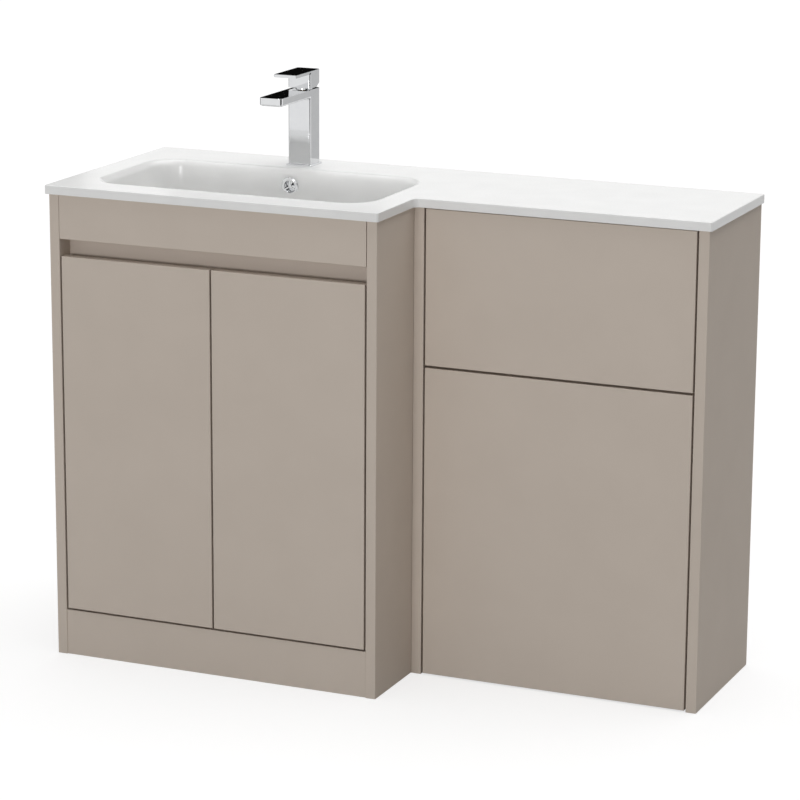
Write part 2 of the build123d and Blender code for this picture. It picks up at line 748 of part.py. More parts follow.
with BuildPart() as mixer_shape:
    with BuildSketch(Plane.XY.offset(column_low)):
        with Locations((tap_x, tap_y)):
            RectangleRounded(tap_width, tap_column_depth, column_round)
    extrude(amount=tap_top - column_low)
    with BuildSketch(Plane.XZ.offset(-spout_tip)):
        with Locations((tap_x, (spout_low + tap_top) / 2)):
            Rectangle(tap_width, spout_thickness)
    extrude(amount=-(tap_y - spout_tip))
    tip = mixer_shape.faces().sort_by(Axis.Y)[0]
    fillet(tip.edges().filter_by(Axis.Z), column_round)
    under = mixer_shape.edges().filter_by(Axis.Y).group_by(Axis.Z)[0]
    fillet(under, spout_round)
    upright_cylinder(tap_x, tap_y, chamber_radius, (chamber_floor, tap_top), mode=Mode.SUBTRACT)
    upright_cylinder(tap_x, aerator_y, aerator_hole_radius, (spout_low, spout_low + aerator_depth),
                     mode=Mode.SUBTRACT)
    with BuildSketch(Plane.XZ.offset(-aerator_y)):
        with Locations((tap_x, spout_low + aerator_depth)):
            Circle(waterway_radius)
    extrude(amount=-(tap_y - aerator_y), mode=Mode.SUBTRACT)
    for x, y in inlets:
        upright_cylinder(x, y, inlet_radius, (column_low, column_low + inlet_depth),
                         mode=Mode.SUBTRACT)
        upright_cylinder(x, y, riser_radius, (column_low + inlet_depth, chamber_floor),
                         mode=Mode.SUBTRACT)
    upright_cylinder(tap_x, tap_y + stud_back, fixing_stud_radius,
                     (column_low, column_low + inlet_depth), mode=Mode.SUBTRACT)

# The spout is a casting of its own, joined to the column behind the column's rounded edges
spout_root = column_front + column_round
spout_space = ((tap_x - tap_width / 2, tap_x + tap_width / 2), (spout_tip, spout_root),
               (spout_low, tap_top))
with BuildPart() as tap_spout:
    add(mixer_shape.part)
    block(*spout_space, mode=Mode.INTERSECT)
save(tap_spout, "tap_spout")

with BuildPart() as tap_body:
    add(mixer_shape.part)
    block(*spout_space, mode=Mode.SUBTRACT)
save(tap_body, "tap_body")

plate_bore_radius = 16
with BuildPart() as tap_base_plate:
    with BuildSketch(Plane.XY.offset(top_face)):
        with Locations((tap_x, tap_y)):
            RectangleRounded(tap_width + 2 * plate_overhang, tap_column_depth + 2 * plate_overhang, 3)
            Circle(plate_bore_radius, mode=Mode.SUBTRACT)
    extrude(amount=base_plate_thickness)
    outline = tap_base_plate.faces().sort_by(Axis.Z)[-1].outer_wire().edges()
    chamfer(outline, 1)
save(tap_base_plate, "tap_base_plate")

# Cartridge: housing in the body's chamber, screwed down by a collar nut that shows under the lever
housing_radius = chamber_radius - 0.1
housing_top = tap_top - 3
carrier_radius = 9.5
carrier_clearance = 0.05
carrier_low = housing_top - 8
with BuildPart() as cartridge_housing:
    upright_cylinder(tap_x, tap_y, housing_radius, (chamber_floor, housing_top))
    upright_cylinder(tap_x, tap_y, carrier_radius + carrier_clearance, (carrier_low, housing_top),
                     mode=Mode.SUBTRACT)
save(cartridge_housing, "cartridge_housing")

collar_radius = 14.5
collar_height = 2.2
collar_bore_radius = 10.2
with BuildPart() as cartridge_collar:
    upright_cylinder(tap_x, tap_y, housing_radius, (housing_top, tap_top))
    upright_cylinder(tap_x, tap_y, collar_radius, (tap_top, tap_top + collar_height))
    chamfer(cartridge_collar.faces().sort_by(Axis.Z)[-1].edges(), 0.8)
    upright_cylinder(tap_x, tap_y, collar_bore_radius, (housing_top, tap_top + collar_height),
                     mode=Mode.SUBTRACT)
save(cartridge_collar, "cartridge_collar")

# Carrier turns with the lever for temperature; its two ears hold the pin that the stem tilts on
pivot_height = tap_top + 3
stem_half = 4
carrier_gap = 0.2
slot_half = 8
ear_inside = 4.6
ear_outside = 8
ear_half_depth = 4
ear_top = pivot_height + 3.5
tilt_pin_radius = 1.5
with BuildPart() as cartridge_carrier:
    upright_cylinder(tap_x, tap_y, carrier_radius, (carrier_low + carrier_gap, housing_top + 2))
    with Locations((tap_x, tap_y, housing_top)):
        Box(2 * ear_inside, 2 * slot_half, 12, mode=Mode.SUBTRACT)
    for side in (-1, 1):
        block(sorted((tap_x + side * ear_inside, tap_x + side * ear_outside)),
              (tap_y - ear_half_depth, tap_y + ear_half_depth), (housing_top, ear_top))
    with BuildSketch(Plane.YZ.offset(tap_x - ear_outside)):
        with Locations((tap_y, pivot_height)):
            Circle(tilt_pin_radius)
    extrude(amount=2 * ear_outside, mode=Mode.SUBTRACT)
save(cartridge_carrier, "cartridge_carrier")

with BuildPart() as tilt_pin:
    with BuildSketch(Plane.YZ.offset(tap_x - ear_outside)):
        with Locations((tap_y, pivot_height)):
            Circle(tilt_pin_radius)
    extrude(amount=2 * ear_outside)
save(tilt_pin, "tilt_pin")

stem_bottom = pivot_height - 9
stem_top = pivot_height + 16
with BuildPart() as lever_stem:
    block((tap_x - stem_half, tap_x + stem_half), (tap_y - stem_half, tap_y + stem_half),
          (stem_bottom, stem_top))
    with BuildSketch(Plane.YZ.offset(tap_x - stem_half)):
        with Locations((tap_y, pivot_height)):
            Circle(tilt_pin_radius + pin_clearance)
    extrude(amount=2 * stem_half, mode=Mode.SUBTRACT)
save(lever_stem, "lever_stem")

# Lever: hollow block under a thin flat plate, chamfered low at the back so that it can tilt
lever_gap = 2.5
lever_low = tap_top + lever_gap
lever_top = tap_top + lever_height + 2
plate_low = lever_top - lever_plate
lever_tip = column_front - lever_overhang
lever_chamfer_start = 6
lever_chamfer_height = 8.5
lever_wall = 3
hollow_top = plate_low - 4
socket_half = 7.2
socket_low = pivot_height + 8
grub_height = socket_low + 4
grub_radius = 2.5
lever_middle = (column_front + column_back) / 2
with BuildPart() as tap_lever:
    with BuildSketch(Plane.XY.offset(lever_low)):
        with Locations((tap_x, lever_middle)):
            RectangleRounded(tap_width, tap_column_depth, column_round)
    extrude(amount=plate_low - lever_low)
    with BuildSketch(Plane.XY.offset(plate_low)):
        with Locations((tap_x, (lever_tip + column_back) / 2)):
            RectangleRounded(tap_width, column_back - lever_tip, 1.2)
    extrude(amount=lever_plate)
    with BuildSketch(Plane.YZ.offset(tap_x - tap_width / 2)):
        with BuildLine():
            Polyline((tap_y + lever_chamfer_start, lever_low),
                     (column_back, lever_low + lever_chamfer_height), (column_back, lever_low),
                     close=True)
        make_face()
    extrude(amount=tap_width, mode=Mode.SUBTRACT)
    with BuildSketch(Plane.XY.offset(lever_low)):
        with Locations((tap_x, tap_y)):
            Rectangle(tap_width - 2 * lever_wall, tap_column_depth - 2 * lever_wall)
    extrude(amount=hollow_top - lever_low, mode=Mode.SUBTRACT)
    with BuildSketch(Plane.XY.offset(socket_low)):
        with Locations((tap_x, tap_y)):
            Rectangle(2 * socket_half, 2 * socket_half)
            Rectangle(2 * stem_half, 2 * stem_half, mode=Mode.SUBTRACT)
    extrude(amount=hollow_top - socket_low)
    with BuildSketch(Plane.XZ.offset(-tap_y - stem_half)):
        with Locations((tap_x, grub_height)):
            Circle(grub_radius)
    extrude(amount=-(tap_column_depth / 2 - stem_half), mode=Mode.SUBTRACT)
save(tap_lever, "tap_lever")

with BuildPart() as lever_grub_screw:
    with BuildSketch(Plane.XZ.offset(-tap_y - stem_half)):
        with Locations((tap_x, grub_height)):
            Circle(grub_radius)
    extrude(amount=-(tap_column_depth / 2 - stem_half - 0.6))
    with BuildSketch(Plane.XZ.offset(-tap_y - tap_column_depth / 2 + 0.6)):
        with Locations((tap_x, grub_height)):
            RegularPolygon(1.4, 6)
    extrude(amount=3, mode=Mode.SUBTRACT)
save(lever_grub_screw, "lever_grub_screw")

with BuildPart() as tap_aerator:
    upright_cylinder(tap_x, aerator_y, aerator_hole_radius - 0.1,
                     (spout_low, spout_low + aerator_depth - waterway_radius - 0.5))
    upright_cylinder(tap_x, aerator_y, aerator_hole_radius - 2, (spout_low, spout_low + 2),
                     mode=Mode.SUBTRACT)
    with Locations((tap_x, aerator_y, spout_low)):
        with PolarLocations(4.5, 8):
            Cylinder(0.9, 4 * aerator_depth, mode=Mode.SUBTRACT)
save(tap_aerator, "tap_aerator")

# Tap fixing below the deck
washer_radius = 22
inlet_opening = 30
washer_thickness = 3
clamp_thickness = 3
fixing_nut_height = 10
stud_bottom = 770
washer_low = carcass_height - washer_thickness
clamp_low = washer_low - clamp_thickness
with BuildPart() as tap_stud:
    upright_cylinder(tap_x, tap_y + stud_back, fixing_stud_radius,
                     (stud_bottom, top_face + base_plate_thickness + inlet_depth))
save(tap_stud, "tap_stud")

# rubber washer and steel clamp plate share an outline that leaves the inlets free
for name, low, thickness in (("tap_rubber_washer", washer_low, washer_thickness),
                             ("tap_clamp_plate", clamp_low, clamp_thickness)):
    with BuildPart() as crescent:
        with BuildSketch(Plane.XY.offset(low)):
            with Locations((tap_x, tap_y)):
                Circle(washer_radius)
            with Locations((tap_x, tap_y - washer_radius / 2)):
                Rectangle(inlet_opening, washer_radius + 6, mode=Mode.SUBTRACT)
            with Locations((tap_x, tap_y + stud_back)):
                Circle(fixing_stud_radius, mode=Mode.SUBTRACT)
        extrude(amount=thickness)
    save(crescent, name)

# Nuts under the basin: the waste's lock nut and the tap's fixing nut
tap_nut_radius = 7
with BuildPart() as fixing_nuts:
    with BuildSketch(Plane.XY.offset(boss_bottom - lower_seal - waste_nut_height)):
        with Locations((bowl_x, bowl_y)):
            RegularPolygon(waste_nut_radius, 8)
            Circle(waste_tube_radius, mode=Mode.SUBTRACT)
    extrude(amount=waste_nut_height)
    with BuildSketch(Plane.XY.offset(clamp_low - fixing_nut_height)):
        with Locations((tap_x, tap_y + stud_back)):
            RegularPolygon(tap_nut_radius, 6)
            Circle(fixing_stud_radius, mode=Mode.SUBTRACT)
    extrude(amount=fixing_nut_height)
save(fixing_nuts, "fixing_nuts")
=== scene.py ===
import bpy
import bmesh
import math
from mathutils import Matrix


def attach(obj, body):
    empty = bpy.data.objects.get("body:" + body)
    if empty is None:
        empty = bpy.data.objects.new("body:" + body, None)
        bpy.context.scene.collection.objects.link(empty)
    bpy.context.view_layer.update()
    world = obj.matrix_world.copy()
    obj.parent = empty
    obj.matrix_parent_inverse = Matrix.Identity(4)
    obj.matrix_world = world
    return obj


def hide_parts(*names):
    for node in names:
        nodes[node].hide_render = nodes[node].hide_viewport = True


# bathroom furniture: a two-door vanity with a cast basin top and a square mixer, beside a WC unit
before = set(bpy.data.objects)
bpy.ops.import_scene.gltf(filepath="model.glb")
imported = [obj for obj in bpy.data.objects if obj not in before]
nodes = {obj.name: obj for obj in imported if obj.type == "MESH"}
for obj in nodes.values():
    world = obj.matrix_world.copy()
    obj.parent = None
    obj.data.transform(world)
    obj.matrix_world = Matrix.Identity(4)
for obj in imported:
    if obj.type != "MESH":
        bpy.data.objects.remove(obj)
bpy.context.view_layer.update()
print("frame loaded")

mm = 0.001
creaseAngle = math.radians(32)  # edges sharper than this stay crisp


# modelling helpers

def deselectAll():
    bpy.ops.object.select_all(action="DESELECT")


def makeActive(piece):
    deselectAll()
    piece.select_set(True)
    bpy.context.view_layer.objects.active = piece


def nameNew(name):
    piece = bpy.context.active_object
    piece.name = name
    piece.data.name = name
    return piece


def applyPlace(piece):
    makeActive(piece)
    bpy.ops.object.transform_apply(location=True, rotation=True, scale=True)


def startBlock(name, low, high):
    # a block between two corners, where a piece starts
    deselectAll()
    middle = [(a + b) / 2 for a, b in zip(low, high)]
    bpy.ops.mesh.primitive_cube_add(size=1, location=middle)
    piece = nameNew(name)
    piece.scale = [b - a for a, b in zip(low, high)]
    applyPlace(piece)
    return piece


def startSheet(name, low, high, z):
    deselectAll()
    middle = ((low[0] + high[0]) / 2, (low[1] + high[1]) / 2, z)
    bpy.ops.mesh.primitive_plane_add(size=1, location=middle)
    piece = nameNew(name)
    piece.scale = (high[0] - low[0], high[1] - low[1], 1)
    applyPlace(piece)
    return piece


def editing(piece, kind):
    # edit mode with nothing selected
    makeActive(piece)
    bpy.ops.object.mode_set(mode="EDIT")
    bpy.ops.mesh.select_mode(type=kind)
    bpy.ops.mesh.select_all(action="DESELECT")
    return bmesh.from_edit_mesh(piece.data)


def stopEditing():
    bpy.ops.object.mode_set(mode="OBJECT")


def pickFaces(piece, test):
    mesh = editing(piece, "FACE")
    for face in mesh.faces:
        face.select_set(bool(test(face.calc_center_median(), face.normal)))
    bmesh.update_edit_mesh(piece.data)


def pickEdges(piece, test, cornersOnly=True, cornerAngle=0.2):
    # edges whose two ends pass the test, as a rule only where faces meet at an angle
    mesh = editing(piece, "EDGE")
    for edge in mesh.edges:
        corner = len(edge.link_faces) == 2 and edge.calc_face_angle(0) > cornerAngle
        ends = [vertex.co for vertex in edge.verts]
        edge.select_set(bool((corner or not cornersOnly) and test(*ends)))
    bmesh.update_edit_mesh(piece.data)


def extrudePicked(*move):
    bpy.ops.mesh.extrude_region_move(TRANSFORM_OT_translate={"value": move})


def roundEdges(piece, test, radius, steps=5):
    pickEdges(piece, test)
    bpy.ops.mesh.bevel(offset=radius, segments=steps, profile=0.5, affect="EDGES")
    stopEditing()


def cutThrough(piece, point, normal, remove=False):
    # a cut through the whole piece, that can also take away the side the normal points to
    editing(piece, "FACE")
    bpy.ops.mesh.select_all(action="SELECT")
    bpy.ops.mesh.bisect(plane_co=point, plane_no=normal, use_fill=remove, clear_outer=remove)
    stopEditing()


def near(a, b, slack=0.02 * mm):
    return abs(a - b) < slack


def upright(a, b):
    return near(a.x, b.x) and near(a.y, b.y)


def combine(piece, tool, how):
    # joins or cuts with a second mesh, which is used up
    step = piece.modifiers.new("combine", "BOOLEAN")
    step.operation = how
    step.object = tool
    step.solver = "EXACT"
    makeActive(piece)
    bpy.ops.object.modifier_apply(modifier=step.name)
    bpy.data.objects.remove(tool, do_unlink=True)


def tidyNormals(piece, merge=0.002 * mm):
    editing(piece, "VERT")
    bpy.ops.mesh.select_all(action="SELECT")
    bpy.ops.mesh.remove_doubles(threshold=merge)
    bpy.ops.mesh.normals_make_consistent(inside=False)
    stopEditing()


def finishSurface(piece):
    # soft shading with crisp corners, and flats that stay flat
    tidyNormals(piece)
    bpy.ops.object.shade_smooth_by_angle(angle=creaseAngle)
    weighting = piece.modifiers.new("weighting", "WEIGHTED_NORMAL")
    weighting.keep_sharp = True
    bpy.ops.object.modifier_apply(modifier=weighting.name)


def dropOutline(piece, outline, profile):
    # carries the selected face down through (inset, depth) pairs, each measured from the outline
    inset, depth = outline
    for nextInset, nextDepth in profile:
        bpy.ops.mesh.inset(thickness=nextInset - inset, depth=-(nextDepth - depth),
                           use_boundary=True, use_even_offset=True)
        inset, depth = nextInset, nextDepth


def roundedBowl(name, middle, size, corner, z, profile, cap, cornerSteps=12):
    # a rounded oblong, closed above by a cap and carried down through a profile
    low = (middle[0] - size[0] / 2, middle[1] - size[1] / 2)
    high = (middle[0] + size[0] / 2, middle[1] + size[1] / 2)
    piece = startSheet(name, low, high, z + cap)
    editing(piece, "VERT")
    bpy.ops.mesh.select_all(action="SELECT")
    bpy.ops.mesh.bevel(offset=corner, segments=cornerSteps, affect="VERTICES")
    bpy.ops.mesh.select_mode(type="FACE")
    bpy.ops.mesh.select_all(action="SELECT")
    extrudePicked(0, 0, -cap)
    dropOutline(piece, profile[0], profile[1:])
    stopEditing()
    tidyNormals(piece)
    return piece


def lathe(name, rings, segments=64):
    # a turned form about Z: the first ring is closed below and each next one is extruded and sized
    deselectAll()
    radius, height = rings[0]
    bpy.ops.mesh.primitive_circle_add(vertices=segments, radius=radius, fill_type="NGON",
                                      location=(0, 0, height))
    piece = nameNew(name)
    applyPlace(piece)
    editing(piece, "FACE")
    bpy.ops.mesh.select_all(action="SELECT")
    for nextRadius, nextHeight in rings[1:]:
        extrudePicked(0, 0, nextHeight - height)
        size = nextRadius / radius
        bpy.ops.transform.resize(value=(size, size, 1), center_override=(0, 0, nextHeight))
        radius, height = nextRadius, nextHeight
    stopEditing()
    tidyNormals(piece)
    return piece


def setPlace(piece, place, tilt=(0, 0, 0)):
    piece.location = place
    piece.rotation_euler = tilt
    applyPlace(piece)


def boreHole(piece, place, radius, low, high, segments=64):
    hole = lathe("hole", [(radius, low), (radius, high)], segments)
    setPlace(hole, place)
    combine(piece, hole, "DIFFERENCE")


# material helpers

def linearColour(hexValue):
    parts = [int(hexValue[i:i + 2], 16) / 255 for i in (1, 3, 5)]
    return [c / 12.92 if c <= 0.04045 else ((c + 0.055) / 1.055) ** 2.4 for c in parts] + [1.0]


def addNode(tree, kind, settings=None, values=None, links=None):
    # one node with its settings, its input values and what feeds it
    node = tree.nodes.new(kind)
    for key, value in (settings or {}).items():
        setattr(node, key, value)
    for socket, value in (values or {}).items():
        node.inputs[socket].default_value = value
    for socket, source in (links or {}).items():
        tree.links.new(source, node.inputs[socket])
    return node


def showChips(tree, place, face, chips):
    # pressed wood chips beyond a depth, where a board's back edges are left raw
    cells = addNode(tree, "ShaderNodeTexVoronoi", values={"Scale": chips["scale"]},
                    links={"Vector": place}).outputs["Distance"]
    amount = addNode(tree, "ShaderNodeMapRange", values={"From Max": chips["shadeFrom"]},
                     links={"Value": cells}).outputs["Result"]
    raw = addNode(tree, "ShaderNodeMix", {"data_type": "RGBA"},
                  {"A": linearColour(chips["colour"]), "B": linearColour(chips["shade"])},
                  {"Factor": amount}).outputs["Result"]
    depth = addNode(tree, "ShaderNodeSeparateXYZ", links={"Vector": place}).outputs["Y"]
    isRaw = addNode(tree, "ShaderNodeMath", {"operation": "GREATER_THAN"}, {1: chips["beyond"]},
                    {0: depth}).outputs[0]
    return addNode(tree, "ShaderNodeMix", {"data_type": "RGBA"},
                   links={"Factor": isRaw, "A": face, "B": raw}).outputs["Result"]


def makeFinish(name, look):
    # the colour drifts with a cloud; roughness and relief follow the grain, or the cloud without one
    material = bpy.data.materials.new(name)
    material.use_nodes = True
    tree = material.node_tree
    shader = tree.nodes["Principled BSDF"]
    for socket, value in look.get("constants", {}).items():
        shader.inputs[socket].default_value = value
    place = addNode(tree, "ShaderNodeTexCoord").outputs["Object"]
    if "drawnOut" in look:
        place = addNode(tree, "ShaderNodeMapping", values={"Scale": look["drawnOut"]},
                        links={"Vector": place}).outputs["Vector"]
    cloud = addNode(tree, "ShaderNodeTexNoise", values=look["cloud"],
                    links={"Vector": place}).outputs["Fac"]
    grain = cloud
    if "grain" in look:
        grain = addNode(tree, "ShaderNodeTexNoise", values=look["grain"],
                        links={"Vector": place}).outputs["Fac"]
    drift = addNode(tree, "ShaderNodeMapRange", values=look.get("drift"),
                    links={"Value": cloud}).outputs["Result"]
    tint = addNode(tree, "ShaderNodeMix", {"data_type": "RGBA"},
                   {"A": linearColour(look["colour"]), "B": linearColour(look["shade"])},
                   {"Factor": drift}).outputs["Result"]
    if "chips" in look:
        tint = showChips(tree, place, tint, look["chips"])
    tree.links.new(tint, shader.inputs["Base Color"])
    if "roughness" in look:
        low, high = look["roughness"]
        rough = addNode(tree, "ShaderNodeMapRange",
                        values=dict(middleOfNoise, **{"To Min": low, "To Max": high}),
                        links={"Value": grain}).outputs["Result"]
        tree.links.new(rough, shader.inputs["Roughness"])
    if "relief" in look:
        strength, distance = look["relief"]
        relief = addNode(tree, "ShaderNodeBump", values={"Strength": strength, "Distance": distance},
                         links={"Height": cloud if look.get("wavy") else grain})
        tree.links.new(relief.outputs["Normal"], shader.inputs["Normal"])
    return material


# the part of a noise pattern's range that it mostly fills
middleOfNoise = {"From Min": 0.3, "From Max": 0.7}

# in the looks below, a pattern's Scale is one over the size of its features

# vinyl foil pressed on MDF in a membrane press: an even clay grey, satin, with a soft grain
foilLook = {"colour": "#cfc3b7", "shade": "#cdc1b5", "cloud": {"Scale": 1 / (90 * mm), "Detail": 3},
            "drift": {"From Min": 0.35, "From Max": 0.65}, "grain": {"Scale": 1 / (0.9 * mm)},
            "roughness": (0.54, 0.64), "relief": (0.12, 0.03 * mm),
            "constants": {"IOR": 1.5, "Specular IOR Level": 0.22}}

# melamine paper pressed on chipboard: the same grey, a little duller
railLook = dict(foilLook, roughness=(0.58, 0.68), constants={"IOR": 1.5, "Specular IOR Level": 0.2})

# the same board where its sawn back edges show their chips
boardLook = dict(railLook, chips={"colour": "#cdb08a", "shade": "#ad9069", "scale": 1 / (4 * mm),
                                  "shadeFrom": 0.9, "beyond": 0.2151})

# hardboard with a printed face: thin, a little darker and duller, with a coarser grain
backLook = dict(foilLook, colour="#bdb1a5", shade="#b6aa9e",
                cloud={"Scale": 1 / (40 * mm), "Detail": 3}, grain={"Scale": 1 / (1.4 * mm)},
                roughness=(0.55, 0.68), constants={"IOR": 1.5, "Specular IOR Level": 0.3})

# steel channel, powder coated in the same clay grey: a fine orange peel
coatLook = {"colour": "#c9bcb0", "shade": "#c6b9ad", "cloud": {"Scale": 1 / (1.6 * mm), "Detail": 1},
            "relief": (0.25, 0.04 * mm), "constants": {"Roughness": 0.42}}

# mineral casting under a gel coat: bright white and glossy, with a moulded skin's faint waviness
gelLook = {"colour": "#f3f3f2", "shade": "#efefee", "cloud": {"Scale": 1 / (60 * mm)},
           "drift": middleOfNoise, "grain": {"Scale": 1 / (2.5 * mm)}, "roughness": (0.16, 0.24),
           "relief": (0.03, 0.3 * mm), "wavy": True,
           "constants": {"IOR": 1.49, "Specular IOR Level": 0.35}}

# bright chrome plated over nickel on brass: a clean mirror with a slight water haze
chromeLook = {"colour": "#dbdcdd", "shade": "#d7d8da",
              "cloud": {"Scale": 1 / (18 * mm), "Detail": 3, "Roughness": 0.6},
              "drift": middleOfNoise, "roughness": (0.03, 0.06), "constants": {"Metallic": 1.0}}

# tumbled, nickel-plated steel of the hinges: warm, and soft in its reflections
nickelLook = dict(chromeLook, colour="#c9c6bf", shade="#bdb9b1", roughness=(0.22, 0.34),
                  cloud=dict(chromeLook["cloud"], Scale=1 / (3 * mm)), relief=(0.15, 0.02 * mm))

# zinc-plated steel: bluish, with a mottled passivation
zincLook = dict(chromeLook, colour="#c3c8cc", shade="#aab0b6", roughness=(0.30, 0.48),
                cloud=dict(chromeLook["cloud"], Scale=1 / (5 * mm)), relief=(0.2, 0.02 * mm))

# turned brass: yellow, with tool marks that run round
brassLook = dict(chromeLook, colour="#c7a25a", shade="#b58f4a", roughness=(0.22, 0.36),
                 cloud=dict(chromeLook["cloud"], Scale=1 / (1.2 * mm)), drawnOut=(1, 1, 6),
                 relief=(0.3, 0.02 * mm))

# natural nylon, injection moulded: off-white, with the mould's fine spark-eroded texture
nylonLook = {"colour": "#e9e8e2", "shade": "#e1e0d8", "cloud": {"Scale": 1 / (0.8 * mm)},
             "roughness": (0.40, 0.52), "relief": (0.2, 0.03 * mm)}

# black rubber, pressed: matt, and slightly bloomed
rubberLook = dict(nylonLook, colour="#1c1c1d", shade="#232325", cloud={"Scale": 1 / (1.2 * mm)},
                  roughness=(0.62, 0.75), relief=(0.3, 0.03 * mm))

finishes = {
    "foil": makeFinish("satinFoilOnBoard", foilLook),
    "board": makeFinish("melamineChipboard", boardLook),
    "rail": makeFinish("melamineRail", railLook),
    "backBoard": makeFinish("printedHardboard", backLook),
    "channel": makeFinish("powderCoatedSteel", coatLook),
    "gelCoat": makeFinish("gelCoatedCasting", gelLook),
    "chrome": makeFinish("chromePlate", chromeLook),
    "nickel": makeFinish("nickelPlatedSteel", nickelLook),
    "zinc": makeFinish("zincPlatedSteel", zincLook),
    "brass": makeFinish("turnedBrass", brassLook),
    "nylon": makeFinish("naturalNylon", nylonLook),
    "rubber": makeFinish("blackRubber", rubberLook),
}
print("finishes made")

# every CAD node and its finish
finishOfNode = {
    "foil": ["left_door", "right_door", "vanity_fascia", "wc_lower_panel", "wc_access_panel"],
    "board": ["vanity_left_side", "vanity_right_side", "wc_left_side", "wc_right_side",
              "vanity_base_board"],
    "rail": ["vanity_plinth", "vanity_shelf", "vanity_lower_back_rail", "vanity_upper_back_rail",
             "wc_head_rail", "wc_middle_rail", "wc_foot_rail", "wc_back_rail",
             "lower_panel_spacers"],
    "backBoard": ["vanity_back_panel"],
    "channel": ["finger_pull_channel"],
    "gelCoat": ["basin_top"],
    "chrome": ["tap_body", "tap_spout", "tap_base_plate", "tap_lever", "overflow_ring",
               "waste_body", "waste_plug", "cartridge_collar"],
    "nickel": [f"{hand}_{part}" for hand in ("left", "right")
               for part in ("hinge_cups", "hinge_arms", "hinge_plates", "hinge_pins", "cup_screws",
                            "plate_screws")],
    "zinc": ["wall_brackets", "fascia_brackets", "shelf_pins", "unit_joining_bolts",
             "tap_clamp_plate", "tap_stud", "tilt_pin", "lever_grub_screw"],
    "brass": ["fixing_nuts", "lever_stem"],
    "rubber": ["waste_seals", "tap_rubber_washer"],
    "nylon": ["door_bumpers", "access_panel_studs", "access_panel_sockets", "cartridge_housing",
              "cartridge_carrier", "tap_aerator"],
}
weldDistance = 0.004 * mm
for finish, names in finishOfNode.items():
    for name in names:
        node = nodes[name]
        node.data.materials.clear()
        node.data.materials.append(finishes[finish])
        # soft shading over fillets and turned faces, crisp at corners
        weld = node.modifiers.new("weld", "WELD")
        weld.merge_threshold = weldDistance
        crisp = node.modifiers.new("crisp", "EDGE_SPLIT")
        crisp.split_angle = creaseAngle
        weighting = node.modifiers.new("weighting", "WEIGHTED_NORMAL")
        weighting.keep_sharp = True
        node.data.polygons.foreach_set("use_smooth", [True] * len(node.data.polygons))
print("CAD nodes finished")


def addPiece(piece, finish, slot, body, *replaced):
    finishSurface(piece)
    piece.data.materials.clear()
    piece.data.materials.append(finishes[finish])
    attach(piece, body)
    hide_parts(*replaced)


# basin top: an L-shaped slab with a rolled-rim bowl, waste boss and overflow duct, cast in one
basin = {
    "left": -0.555, "right": 0.555, "inner": 0.049, "front": -0.2155, "wcFront": -0.0655,
    "back": 0.2155, "under": 0.800, "top": 0.815,
    "corner": 3 * mm, "innerCorner": 10 * mm, "outerCorner": 5 * mm, "edge": 1.5 * mm,
    "lowerEdge": 0.5 * mm,
    "middle": (-0.2525, -0.023), "rim": (518 * mm, 271 * mm), "rimCorner": 60 * mm,
    "roll": 13 * mm, "draft": math.radians(8), "depth": 120 * mm, "floorRound": 32 * mm,
    "wall": 9 * mm, "skinFrom": 10 * mm, "skinCap": 4 * mm, "cavityCap": 5 * mm,
    "boss": 34 * mm, "bossLow": 0.655, "bossEdge": 2 * mm,
    "duct": {"half": 22 * mm, "back": 0.1285, "channelTop": 0.6945, "riser": 40 * mm,
             "riserTop": 0.805, "corner": 4 * mm},
    "wasteHole": (22.5 * mm, 0.640, 0.700), "tapY": 0.1545, "tapHole": (17.5 * mm, 0.790, 0.820),
    "overflow": (0.09725, 0.785), "overflowHole": (11 * mm, -22 * mm, 10 * mm),
}


def bowlProfile(offset, rollSteps=7, floorSteps=8):
    # (inset, depth) pairs of the bowl's wall from the rim down, or of a skin that far outside it
    roll, draft, radius = basin["roll"], basin["draft"], basin["floorRound"]
    turn = math.pi / 2 - draft
    points = [(roll * math.sin(turn * i / rollSteps), roll * (1 - math.cos(turn * i / rollSteps)))
              for i in range(rollSteps + 1)]
    wallInset, wallDepth = points[-1]
    centreDepth = basin["depth"] - radius
    centreInset = wallInset + (centreDepth - wallDepth) * math.tan(draft) + radius / math.cos(draft)
    reach = radius + offset
    arc = [(centreInset - reach * math.cos(angle), centreDepth + reach * math.sin(angle))
           for angle in (draft + turn * i / floorSteps for i in range(floorSteps + 1))]
    if offset:
        startDepth = basin["skinFrom"]
        points = [(arc[0][0] - (arc[0][1] - startDepth) * math.tan(draft), startDepth)]
    return points + arc


def makeSlab():
    b = basin
    slab = startSheet("basinTop", (b["left"], b["front"]), (b["inner"], b["back"]), b["under"])
    cutThrough(slab, (0, b["wcFront"], 0), (0, 1, 0))
    pickEdges(slab, lambda p, q: near(p.x, b["inner"]) and near(q.x, b["inner"])
              and (p.y + q.y) / 2 > b["wcFront"], cornersOnly=False)
    extrudePicked(b["right"] - b["inner"], 0, 0)
    bpy.ops.mesh.select_mode(type="FACE")
    bpy.ops.mesh.select_all(action="SELECT")
    extrudePicked(0, 0, b["top"] - b["under"])
    stopEditing()
    tidyNormals(slab)
    corners = [(b["left"], b["front"], b["corner"]), (b["inner"], b["front"], b["outerCorner"]),
               (b["inner"], b["wcFront"], b["innerCorner"]),
               (b["right"], b["wcFront"], b["corner"]), (b["right"], b["back"], b["corner"]),
               (b["left"], b["back"], b["corner"])]
    for x, y, radius in corners:
        roundEdges(slab, lambda p, q: upright(p, q) and near(p.x, x) and near(p.y, y), radius, 6)
    for level, radius, steps in ((b["top"], b["edge"], 4), (b["under"], b["lowerEdge"], 2)):
        roundEdges(slab, lambda p, q: near(p.z, level) and near(q.z, level), radius, steps)
    return slab


